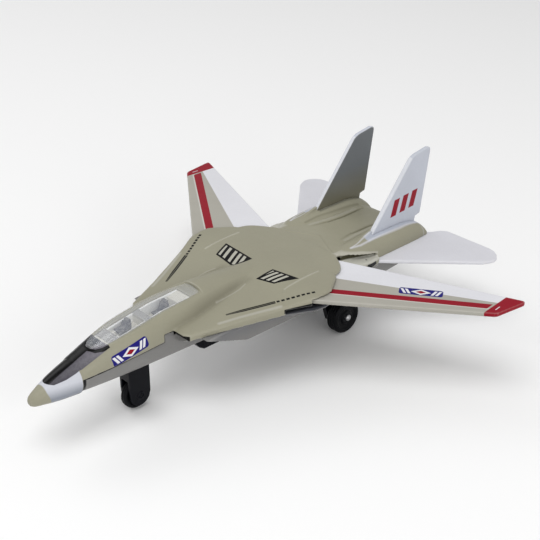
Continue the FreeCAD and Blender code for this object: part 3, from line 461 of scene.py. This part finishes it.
def mat_lower():
    g = Graph("moulding_lower")
    x, y, z = g.xyz()
    c = lin(GREY_LOW)
    # engine nozzles are dark inside
    ax = g.m("ABSOLUTE", x)
    rad = g.m("SQRT", g.m("ADD", g.m("POWER", g.m("SUBTRACT", ax, 10.8), 2.0), g.m("POWER", g.m("SUBTRACT", z, 19.9), 2.0)))
    bore = g.least(g.m("SUBTRACT", 3.25, rad), g.m("SUBTRACT", y, 53.9))
    c, rough = paint(g, c, edge=0.22, crease_shade=0.5)
    # painted shade: the hollow under each glove is painted near black
    hollow = g.least(g.m("SUBTRACT", z, 22.0), g.m("SUBTRACT", ax, 13.0), g.m("ADD", y, 9.0), g.m("SUBTRACT", 21.0, y))
    c = lay(g, c, g.step(hollow, 0.25), "#050506")
    # shaded flank below the gloves
    painted_light_flank = g.least(g.m("ADD", y, 27.0), g.m("SUBTRACT", 16.0, y), g.m("SUBTRACT", z, 14.0))
    c = lay(g, c, g.both(g.remap(painted_light_flank, 0.0, 5.0, 0.0, 1.0), 0.40), "#4d4f58")
    c = lay(g, c, g.both(g.step(bore, 0.2), 0.8), "#1b1b1d")
    c = lay(g, c, seam_mask(g, 0.27), "#020203")
    return g.finish(c, rough, spec=0.16)


def mat_wing(side):
    """side 1 is port, -1 starboard; the two are decorated a little differently."""
    g = Graph("enamel_wing_port" if side > 0 else "enamel_wing_starboard")
    x, y, z = g.xyz()
    nx, ny, nz = g.nxyz()
    ax = g.m("ABSOLUTE", x)
    A = g.combine(ax, y, z)
    top = g.step(g.m("SUBTRACT", nz, 0.25), 0.2)

    def line(a, b):
        """Distance aft of the line from a to b."""
        ln = math.hypot(b[0] - a[0], b[1] - a[1])
        return g.half(A, (-(b[1] - a[1]) / ln, (b[0] - a[0]) / ln, 0.0), (a[0], a[1], 0.0))

    c = lin(WING_GREY)
    aft = line((20.9, 14.2), (57.0, 34.0)) if side > 0 else line((20.6, 14.2), (56.0, 33.0))
    c = lay(g, c, g.both(g.step(aft), top), WHITE)
    fwd_edge = line((24.1, 6.6), (56.7, 29.6))
    aft_edge = line((22.9, 8.5), (56.3, 32.2))
    tip = line((57.1, 38.0), (57.9, 27.8))     # outboard of the tip line
    tip = g.m("MULTIPLY", tip, 1.0)
    stripe = g.least(fwd_edge, g.m("MULTIPLY", aft_edge, -1.0))
    end = g.m("SUBTRACT", g.m("MULTIPLY", tip, -1.0), 0.55)
    border = g.least(g.m("ADD", fwd_edge, 0.40), g.m("SUBTRACT", 0.3, fwd_edge), g.m("ADD", end, 0.42))
    c = lay(g, c, g.both(g.step(border), top, 0.6), "#e0dfd9")
    c = lay(g, c, g.both(g.step(g.least(stripe, end)), top), RED)
    c = lay(g, c, g.step(tip, 0.07), RED)
    # short white tick on the red tip
    tick = g.least(g.m("SUBTRACT", 0.12, g.m("ABSOLUTE", g.m("SUBTRACT", tip, 1.4))), g.m("SUBTRACT", 1.0, g.m("ABSOLUTE", g.m("SUBTRACT", y, 32.0))))
    c = lay(g, c, g.both(g.step(tick, 0.08), top), "#e8e8ee")
    if side > 0:
        a = math.radians(34.7)
        box, white, red = badge(g, g.P, (40.3, 24.25, 25.1), (math.cos(a), math.sin(a), 0.0), (-math.sin(a), math.cos(a), 0.0), 11.4, 3.3)
        c = lay(g, c, g.both(g.step(box), top), NAVY)
        c = lay(g, c, g.both(g.step(white), top), "#efeff2")
        c = lay(g, c, g.both(g.step(red), top), RED)
    c, rough = paint(g, c, edge=0.35, crease_shade=0.3)
    return g.finish(c, rough, spec=0.14)


def mat_fin(side):
    g = Graph("enamel_fin_port" if side > 0 else "enamel_fin_starboard")
    x, y, z = g.xyz()
    nx, ny, nz = g.nxyz()
    inward = g.step(g.m("SUBTRACT", g.m("MULTIPLY", nx, -1.0 * side), 0.75), 0.3)
    c = lin("#ccd0da")
    # the inner face is grey paint, turning tan toward its foot as a painted reflection of the body
    foot_reflection = g.remap(z, 27.0, 36.0, 1.0, 0.0)
    inner = g.mix(foot_reflection, lin("#73777a"), lin("#807d6b"))
    c = g.mix(inward, c, inner)
    outward = g.step(g.m("SUBTRACT", g.m("MULTIPLY", nx, 1.0 * side), 0.75), 0.3)
    YZ = g.combine(y, z, 0.0)
    lead = g.m("SUBTRACT", 0.55, g.path(YZ, [(36.5, 26.2), (52.4, 45.1)]))
    c = lay(g, c, g.both(g.step(lead, 0.3), g.m("SUBTRACT", 1.0, inward), 0.8), "#e6e8ee")
    slant = 0.30
    for y0, w, z0, z1 in ((45.6, 2.3, 29.4, 34.4), (49.4, 2.3, 29.7, 34.7), (53.2, 2.3, 30.0, 35.0)):
        quad = [(y0 - 0.9, z0), (y0 - 0.9 + w, z0 + 0.1), (y0 - 0.9 + w + slant * 5.0, z1 + 0.1), (y0 - 0.9 + slant * 5.0, z1)]
        c = lay(g, c, g.both(g.step(g.poly(YZ, quad)), outward), RED)
    c, rough = paint(g, c, edge=0.45, crease_shade=0.3)
    return g.finish(c, rough, spec=0.14)


def mat_tail():
    g = Graph("enamel_white")
    c, rough = paint(g, lin("#e4e4ea"), edge=0.3, crease_shade=0.35)
    return g.finish(c, rough, spec=0.14)


def mat_black(name, hexcode="#05060d", rough=(0.30, 0.44)):
    g = Graph(name)
    mott = g.remap(g.noise(0.5, 3.0), 0.3, 0.7, 0.85, 1.2)
    c = g.shade(lin(hexcode), g.combine(mott, mott, mott))
    e = g.edges()
    c = g.mix(g.m("MULTIPLY", g.remap(e, 0.10, 0.6, 0.0, 1.0), 0.25), c, lin("#4a4d58"))
    g.bump((g.noise(1.1, 2.0), 0.012), (g.noise(6.0, 3.0, 0.6), 0.004))
    r = g.remap(g.noise(0.9, 4.0), 0.25, 0.75, rough[0], rough[1])
    return g.finish(c, r, spec=0.12)


def mat_steel():
    g = Graph("turned_steel")
    x, y, z = g.xyz()
    rings = g.noise(5.0, 2.0, 0.5, P=g.combine(g.m("MULTIPLY", x, 4.0), g.m("MULTIPLY", y, 0.3), g.m("MULTIPLY", z, 0.3)))
    tone = g.remap(g.noise(0.8, 3.0), 0.3, 0.7, 0.85, 1.05)
    c = g.shade(lin("#c4c4c6"), g.combine(tone, tone, tone))
    c = g.mix(g.m("MULTIPLY", g.remap(g.edges(), -0.05, -0.4, 0.0, 1.0), 0.6), c, lin("#2c2a28"))
    g.bump((rings, 0.01))
    return g.finish(c, g.remap(g.noise(1.2, 4.0), 0.3, 0.7, 0.26, 0.42), metal=1.0)


def mat_glass():
    g = Graph("clear_canopy")
    x, y, z = g.xyz()
    g.bump((g.noise(0.22, 1.0), 0.05))
    # the moulded foot of the canopy is whiter, a painted reflection along its rim
    sill_reflection = g.m("SUBTRACT", 0.75, g.m("SUBTRACT", z, g.m("MULTIPLY_ADD", y, 0.105, 24.1 + 0.105 * 40.0)))
    c = g.mix(g.step(sill_reflection, 0.35), lin("#dde2ec"), lin("#f4f5f8"))
    m = g.finish(c, 0.04, coat=1.0, coat_rough=0.02, spec=1.0)
    g.bsdf.inputs["Alpha"].default_value = 0.13
    return m


def mat_tub():
    g = Graph("moulded_tub")
    x, y, z = g.xyz()
    c = lin("#d5d2c6")
    # painted reflection: the tub's rim under the canopy's foot is near white
    rim = g.least(g.m("SUBTRACT", g.m("ABSOLUTE", x), 2.3), g.m("SUBTRACT", z, 22.9))
    c = g.mix(g.step(rim, 0.15), c, lin("#f4f4f2"))
    # seats and their headrests are darker and bluish
    for y0 in (-42.6, -30.7):
        seat = g.least(g.m("SUBTRACT", y, y0 - 1.3), g.m("SUBTRACT", y0 + 3.4, y), g.m("SUBTRACT", z, 22.9), g.m("SUBTRACT", 1.7, g.m("ABSOLUTE", x)))
        blot = g.remap(g.noise(0.9, 3.0), 0.35, 0.65, 0.75, 1.0)
        c = g.mix(g.both(g.step(seat, 0.2), blot), c, lin("#14172a"))
    for y0, y1, z0 in ((-48.0, -44.9, 23.3), (-36.6, -34.3, 24.6)):
        dash = g.least(g.m("SUBTRACT", y, y0), g.m("SUBTRACT", y1, y), g.m("SUBTRACT", z, z0))
        c = g.mix(g.both(g.step(dash, 0.2), 0.7), c, lin("#6f6f70"))
    g.bump((g.noise(3.0, 3.0), 0.02))
    return g.finish(c, g.remap(g.noise(1.0, 3.0), 0.3, 0.7, 0.4, 0.55), coat=0.1, coat_rough=0.3)


# ------------------------------------------------------------- mesh making
def to_design(me):
    """Row frame in metres -> layout frame in millimetres."""
    me.transform(Matrix.Translation((0.0, -SHIFT_Y, -SHIFT_Z)) @ Matrix.Scale(1000.0, 4))


def to_row(me):
    me.transform(Matrix.Scale(0.001, 4) @ Matrix.Translation((0.0, SHIFT_Y, SHIFT_Z)))


def remeshed(nodes, voxel, smooth, factor=0.5, cut=None):
    """The CAD solids as one even mesh with softened edges, in millimetres."""
    bm = bmesh.new()
    for n in nodes:
        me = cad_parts[n].data.copy()
        to_design(me)
        bm.from_mesh(me)
        bpy.data.meshes.remove(me)
    bmesh.ops.remove_doubles(bm, verts=bm.verts, dist=0.0005)
    me = bpy.data.meshes.new("work")
    bm.to_mesh(me)
    bm.free()
    ob = bpy.data.objects.new("work", me)
    S.collection.objects.link(ob)
    r = ob.modifiers.new("even", "REMESH")
    r.mode = "VOXEL"
    r.voxel_size = voxel
    r.adaptivity = 0.0
    if smooth:
        s = ob.modifiers.new("soft", "SMOOTH")
        s.factor = factor
        s.iterations = smooth
    dg = bpy.context.evaluated_depsgraph_get()
    out = bpy.data.meshes.new_from_object(ob.evaluated_get(dg))
    bpy.data.objects.remove(ob)
    bpy.data.meshes.remove(me)
    return out


def coords(me):
    co = np.zeros(len(me.vertices) * 3, np.float32)
    me.vertices.foreach_get("co", co)
    no = np.zeros(len(me.vertices) * 3, np.float32)
    me.vertex_normals.foreach_get("vector", no)
    return co.reshape(-1, 3).astype(float), no.reshape(-1, 3).astype(float)


def seg_dist(p, a, b):
    """Distance of 2D points from a segment."""
    a, b = np.array(a, float), np.array(b, float)
    d = b - a
    t = np.clip(((p - a) @ d) / (d @ d), 0, 1)
    return np.linalg.norm(p - (a + t[:, None] * d), axis=1)


def poly_dist(p, pts):
    return np.min([seg_dist(p, a, b) for a, b in zip(pts, pts[1:])], axis=0)


def bead(d, half):
    """Smooth bump profile: 1 on the line, 0 at half width."""
    q = np.clip(1.0 - d / half, 0.0, 1.0)
    return q * q * (3 - 2 * q)


def wear_and_shade(me, rounds=5):
    """Stores how far each vertex stands above (edges) or below (creases) its smoothed surroundings."""
    n = len(me.vertices)
    e = np.zeros(len(me.edges) * 2, np.int32)
    me.edges.foreach_get("vertices", e)
    e = e.reshape(-1, 2)
    i, j = np.concatenate([e[:, 0], e[:, 1]]), np.concatenate([e[:, 1], e[:, 0]])
    deg = np.maximum(np.bincount(i, minlength=n), 1)

    def average(v):
        return np.bincount(i, weights=v[j], minlength=n) / deg

    co, no = coords(me)
    p = co.copy()
    for _ in range(rounds):
        p = np.stack([0.5 * p[:, k] + 0.5 * average(p[:, k]) for k in range(3)], 1)
    step = np.mean(np.linalg.norm(co[e[:, 0]] - co[e[:, 1]], axis=1))
    h = ((co - p) * no).sum(1) / step
    for _ in range(2):
        h = 0.5 * h + 0.5 * average(h)
    a = me.attributes.new("wear_and_shade", "FLOAT", "POINT")
    a.data.foreach_set("value", h.astype(np.float32))


def place(name, me, body, material, nodes=(), worn_and_lit=True):
    if worn_and_lit:
        wear_and_shade(me)
    to_row(me)
    me.materials.clear()
    me.materials.append(material)
    me.polygons.foreach_set("use_smooth", [True] * len(me.polygons))
    me.polygons.foreach_set("material_index", [0] * len(me.polygons))
    me.update()
    ob = bpy.data.objects.new(name, me)
    S.collection.objects.link(ob)
    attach(ob, body)
    if nodes:
        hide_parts(*nodes)
    return ob


def lathe(profile, x_axis_y, x_axis_z, segs=96):
    """Turned solid about an axis along X; profile is a closed list of (x, radius)."""
    bm = bmesh.new()
    rings = []
    for i in range(segs):
        a = 2 * math.pi * i / segs
        rings.append([bm.verts.new((x, x_axis_y + r * math.cos(a), x_axis_z + r * math.sin(a))) for x, r in profile])
    n = len(profile)
    for i in range(segs):
        p, q = rings[i], rings[(i + 1) % segs]
        for j in range(n):
            k = (j + 1) % n
            if profile[j][1] < 1e-6 and profile[k][1] < 1e-6:
                continue
            bm.faces.new((p[j], p[k], q[k], q[j]))
    bmesh.ops.remove_doubles(bm, verts=bm.verts, dist=1e-5)
    bmesh.ops.recalc_face_normals(bm, faces=bm.faces)
    me = bpy.data.meshes.new("turned")
    bm.to_mesh(me)
    bm.free()
    return me


def rounded(profile, r, n=3):
    """Rounds the corners of a closed (x, radius) profile; a third value on a point overrides r."""
    out = []
    m = len(profile)
    for i, cur in enumerate(profile):
        p = np.array(cur[:2], float)
        rr = cur[2] if len(cur) > 2 else r
        a = np.array(profile[i - 1][:2], float)
        b = np.array(profile[(i + 1) % m][:2], float)
        da, db = a - p, b - p
        la, lb = np.linalg.norm(da), np.linalg.norm(db)
        if rr <= 0 or la < 1e-6 or lb < 1e-6:
            out.append(tuple(p))
            continue
        k = min(rr, la * 0.45, lb * 0.45)
        s, e = p + da / la * k, p + db / lb * k
        for j in range(n + 1):
            t = j / n
            out.append(tuple((1 - t) ** 2 * s + 2 * t * (1 - t) * p + t * t * e))
    return out


# ------------------------------------------------------------- body halves
def sculpt_upper(me):
    co, no = coords(me)
    up_face = np.clip((no[:, 2] - 0.5) / 0.3, 0, 1)
    xy = co[:, :2]
    ax = np.stack([np.abs(co[:, 0]), co[:, 1]], 1)
    h = np.zeros(len(co))
    outer = (co[:, 2] > 22.9).astype(float) * up_face
    # small ridges beside the grilles
    h += 0.14 * bead(poly_dist(ax, [(16.6, -2.2), (15.7, 0.8), (15.6, 6.0), (15.9, 11.4)]), 0.55) * outer
    # chevron crease across the rear deck
    h += 0.10 * bead(poly_dist(ax, [(12.4, 21.4), (7.5, 23.5), (0.0, 27.4)]), 0.6) * outer
    # valleys between the engine tubes and the rear deck
    rear = np.clip((co[:, 2] - 24.0) / 0.4, 0, 1) * up_face
    h -= 0.22 * bead(poly_dist(ax, [(4.9, 36.5), (4.75, 40.0), (4.65, 43.0), (5.0, 47.2), (5.45, 51.5)]), 0.9) * rear
    h += 0.12 * bead(poly_dist(ax, [(6.2, 36.5), (6.1, 43.0), (6.4, 50.5)]), 1.0) * rear
    co += no * h[:, None]
    # shadow groove along the parting line
    yz = co[:, 1:]
    d = poly_dist(yz, SEAM)
    sidew = np.clip((np.abs(no[:, 0]) - 0.3) / 0.3, 0, 1)
    co -= no * (0.16 * bead(d, 0.42) * sidew)[:, None]
    me.vertices.foreach_set("co", co.astype(np.float32).ravel())
    me.update()


def sculpt_lower(me):
    co, no = coords(me)
    d = poly_dist(co[:, 1:], SEAM)
    sidew = np.clip((np.abs(no[:, 0]) - 0.3) / 0.3, 0, 1)
    co -= no * (0.16 * bead(d, 0.42) * sidew)[:, None]
    me.vertices.foreach_set("co", co.astype(np.float32).ravel())
    me.update()


m_upper, m_lower = mat_upper(), mat_lower()
me = remeshed(["upper_body"], 0.26, 2)
sculpt_upper(me)
place("upper_casting", me, "airframe", m_upper, ["upper_body"])
me = remeshed(["lower_body"], 0.28, 2)
sculpt_lower(me)
place("lower_moulding", me, "airframe", m_lower, ["lower_body"])

# ---------------------------------------------------------- wings and tails
for side, label, body in ((1, "port", "port_wing"), (-1, "starboard", "starboard_wing")):
    me = remeshed(["wing_" + label], 0.20, 2)
    place("wing_panel_" + label, me, body, mat_wing(side), ["wing_" + label])
    me = remeshed(["fin_" + label], 0.20, 2)
    place("tail_fin_" + label, me, "airframe", mat_fin(side), ["fin_" + label])
m_tail = mat_tail()
for label in ("port", "starboard"):
    me = remeshed(["tailplane_" + label], 0.20, 2)
    place("stabiliser_" + label, me, "airframe", m_tail, ["tailplane_" + label])

# ------------------------------------------------------------------ cockpit
me = remeshed(["canopy"], 0.13, 6)
place("canopy_clear", me, "airframe", mat_glass(), ["canopy"])
me = remeshed(["cockpit_tub"], 0.12, 2)
place("cockpit_interior", me, "airframe", mat_tub(), ["cockpit_tub"])

# -------------------------------------------------------------- undercarriage
m_black = mat_black("black_plastic")
m_tyre = mat_black("black_tyre", "#06070b", (0.36, 0.52))
m_steel = mat_steel()
me = remeshed(["belly_keel"], 0.16, 3)
place("keel_pod", me, "airframe", m_black, ["belly_keel"])
me = remeshed(["main_gear_bracket"], 0.16, 3)
place("gear_bracket", me, "airframe", m_black, ["main_gear_bracket"])
me = remeshed(["nose_gear_leg"], 0.10, 3)
place("nose_fork", me, "airframe", m_black, ["nose_gear_leg"])
me = remeshed(["assembly_screws"], 0.11, 1)
place("case_screws", me, "airframe", m_steel, ["assembly_screws"])
me = remeshed(["wing_pivot_pins"], 0.13, 1)
place("pivot_rivets", me, "airframe", m_steel, ["wing_pivot_pins"])


def main_wheel(sign):
    r, x0, x1 = 5.0, 9.0, 12.5
    prof = [(x0, 0.93), (x0, 2.2), (x0 + 0.3, 2.6), (x0 + 0.3, 4.0), (x0, 4.3), (x0 + 0.05, r - 0.35, 0.3), (x0 + 0.45, r, 0.3)]
    for gx in (9.98, 10.75, 11.52):
        prof += [(gx - 0.16, r), (gx - 0.07, r - 0.16), (gx + 0.07, r - 0.16), (gx + 0.16, r)]
    prof += [(x1 - 0.45, r, 0.3), (x1 - 0.05, r - 0.35, 0.3), (x1, 4.3), (x1 - 0.05, 4.12), (x1 - 0.14, 4.06), (x1 - 0.14, 3.94), (x1 - 0.02, 3.86),
             (x1 - 0.45, 3.15), (x1 - 0.45, 2.15), (x1 - 0.2, 2.0), (x1 + 0.03, 1.75), (x1 + 0.03, 0.93)]
    prof = rounded(prof, 0.07)
    me = lathe([(sign * x, q) for x, q in prof], 26.9, 4.5, 120)
    return me


for sign, label in ((1, "port"), (-1, "starboard")):
    place("wheel_main_" + label, main_wheel(sign), "main_wheelset", m_tyre, ["main_wheel_" + label])

h = 1.0
prof = [(-h, 0.81), (-h, 1.6), (-h + 0.25, 1.9), (-h + 0.25, 3.2), (-h, 3.5), (-h + 0.02, 3.9, 0.25), (-h + 0.35, 4.3, 0.25), (-0.16, 4.3), (-0.07, 4.18), (0.07, 4.18), (0.16, 4.3),
        (h - 0.35, 4.3, 0.25), (h - 0.02, 3.9, 0.25), (h, 3.5), (h - 0.25, 3.2), (h - 0.25, 1.9), (h, 1.6), (h, 0.81)]
place("wheel_nose", lathe(rounded(prof, 0.08), -38.9, 3.8, 96), "nose_roller", m_tyre, ["nose_wheel"])


def pin(half_length, radius, y, z, dome):
    prof = [(-half_length, 0.0, 0.0), (-half_length, radius * 0.45, 0.1), (-half_length + dome, radius, dome), (half_length - dome, radius, dome), (half_length, radius * 0.45, 0.1),
            (half_length, 0.0, 0.0)]
    return lathe(rounded(prof, 0.1, 4), y, z, 48)


place("axle_main", pin(13.4, 0.93, 26.9, 4.5, 0.3), "main_wheelset", m_steel, ["main_axle"])
place("axle_nose", pin(2.3, 0.75, -38.9, 3.8, 0.15), "airframe", m_black, ["nose_axle"])

# ------------------------------------------------------------------- stage
bm = bmesh.new()
v = [bm.verts.new(p) for p in ((-3, -3, 0), (3, -3, 0), (3, 3, 0), (-3, 3, 0))]
bm.faces.new(v)
me = bpy.data.meshes.new("floor")
bm.to_mesh(me)
bm.free()
floor = bpy.data.objects.new("floor", me)
floor.location.z = -0.00002
S.collection.objects.link(floor)
fm = bpy.data.materials.new("floor")
fm.use_nodes = True
p = fm.node_tree.nodes["Principled BSDF"]
p.inputs["Base Color"].default_value = (0.96, 0.96, 0.96, 1.0)
p.inputs["Roughness"].default_value = 0.75
me.materials.append(fm)

world = bpy.data.worlds.new("studio")
world.use_nodes = True
world.node_tree.nodes["Background"].inputs[0].default_value = (1.0, 1.0, 1.0, 1.0)
world.node_tree.nodes["Background"].inputs[1].default_value = 0.50
S.world = world


def softbox(name, at, toward, size, power):
    d = bpy.data.lights.new(name, "AREA")
    d.shape = "RECTANGLE"
    d.size, d.size_y = size
    d.energy = power
    o = bpy.data.objects.new(name, d)
    S.collection.objects.link(o)
    o.location = at
    o.rotation_euler = (Vector(toward) - Vector(at)).to_track_quat("-Z", "Y").to_euler()
    return o


softbox("key", (0.10, -0.25, 0.75), (0, 0, 0.02), (0.55, 0.45), 2.65)
softbox("port", (0.75, -0.10, 0.35), (0, 0, 0.02), (0.5, 0.3), 1.5)
softbox("starboard", (-0.60, -0.15, 0.50), (0, 0, 0.02), (0.5, 0.3), 0.9)
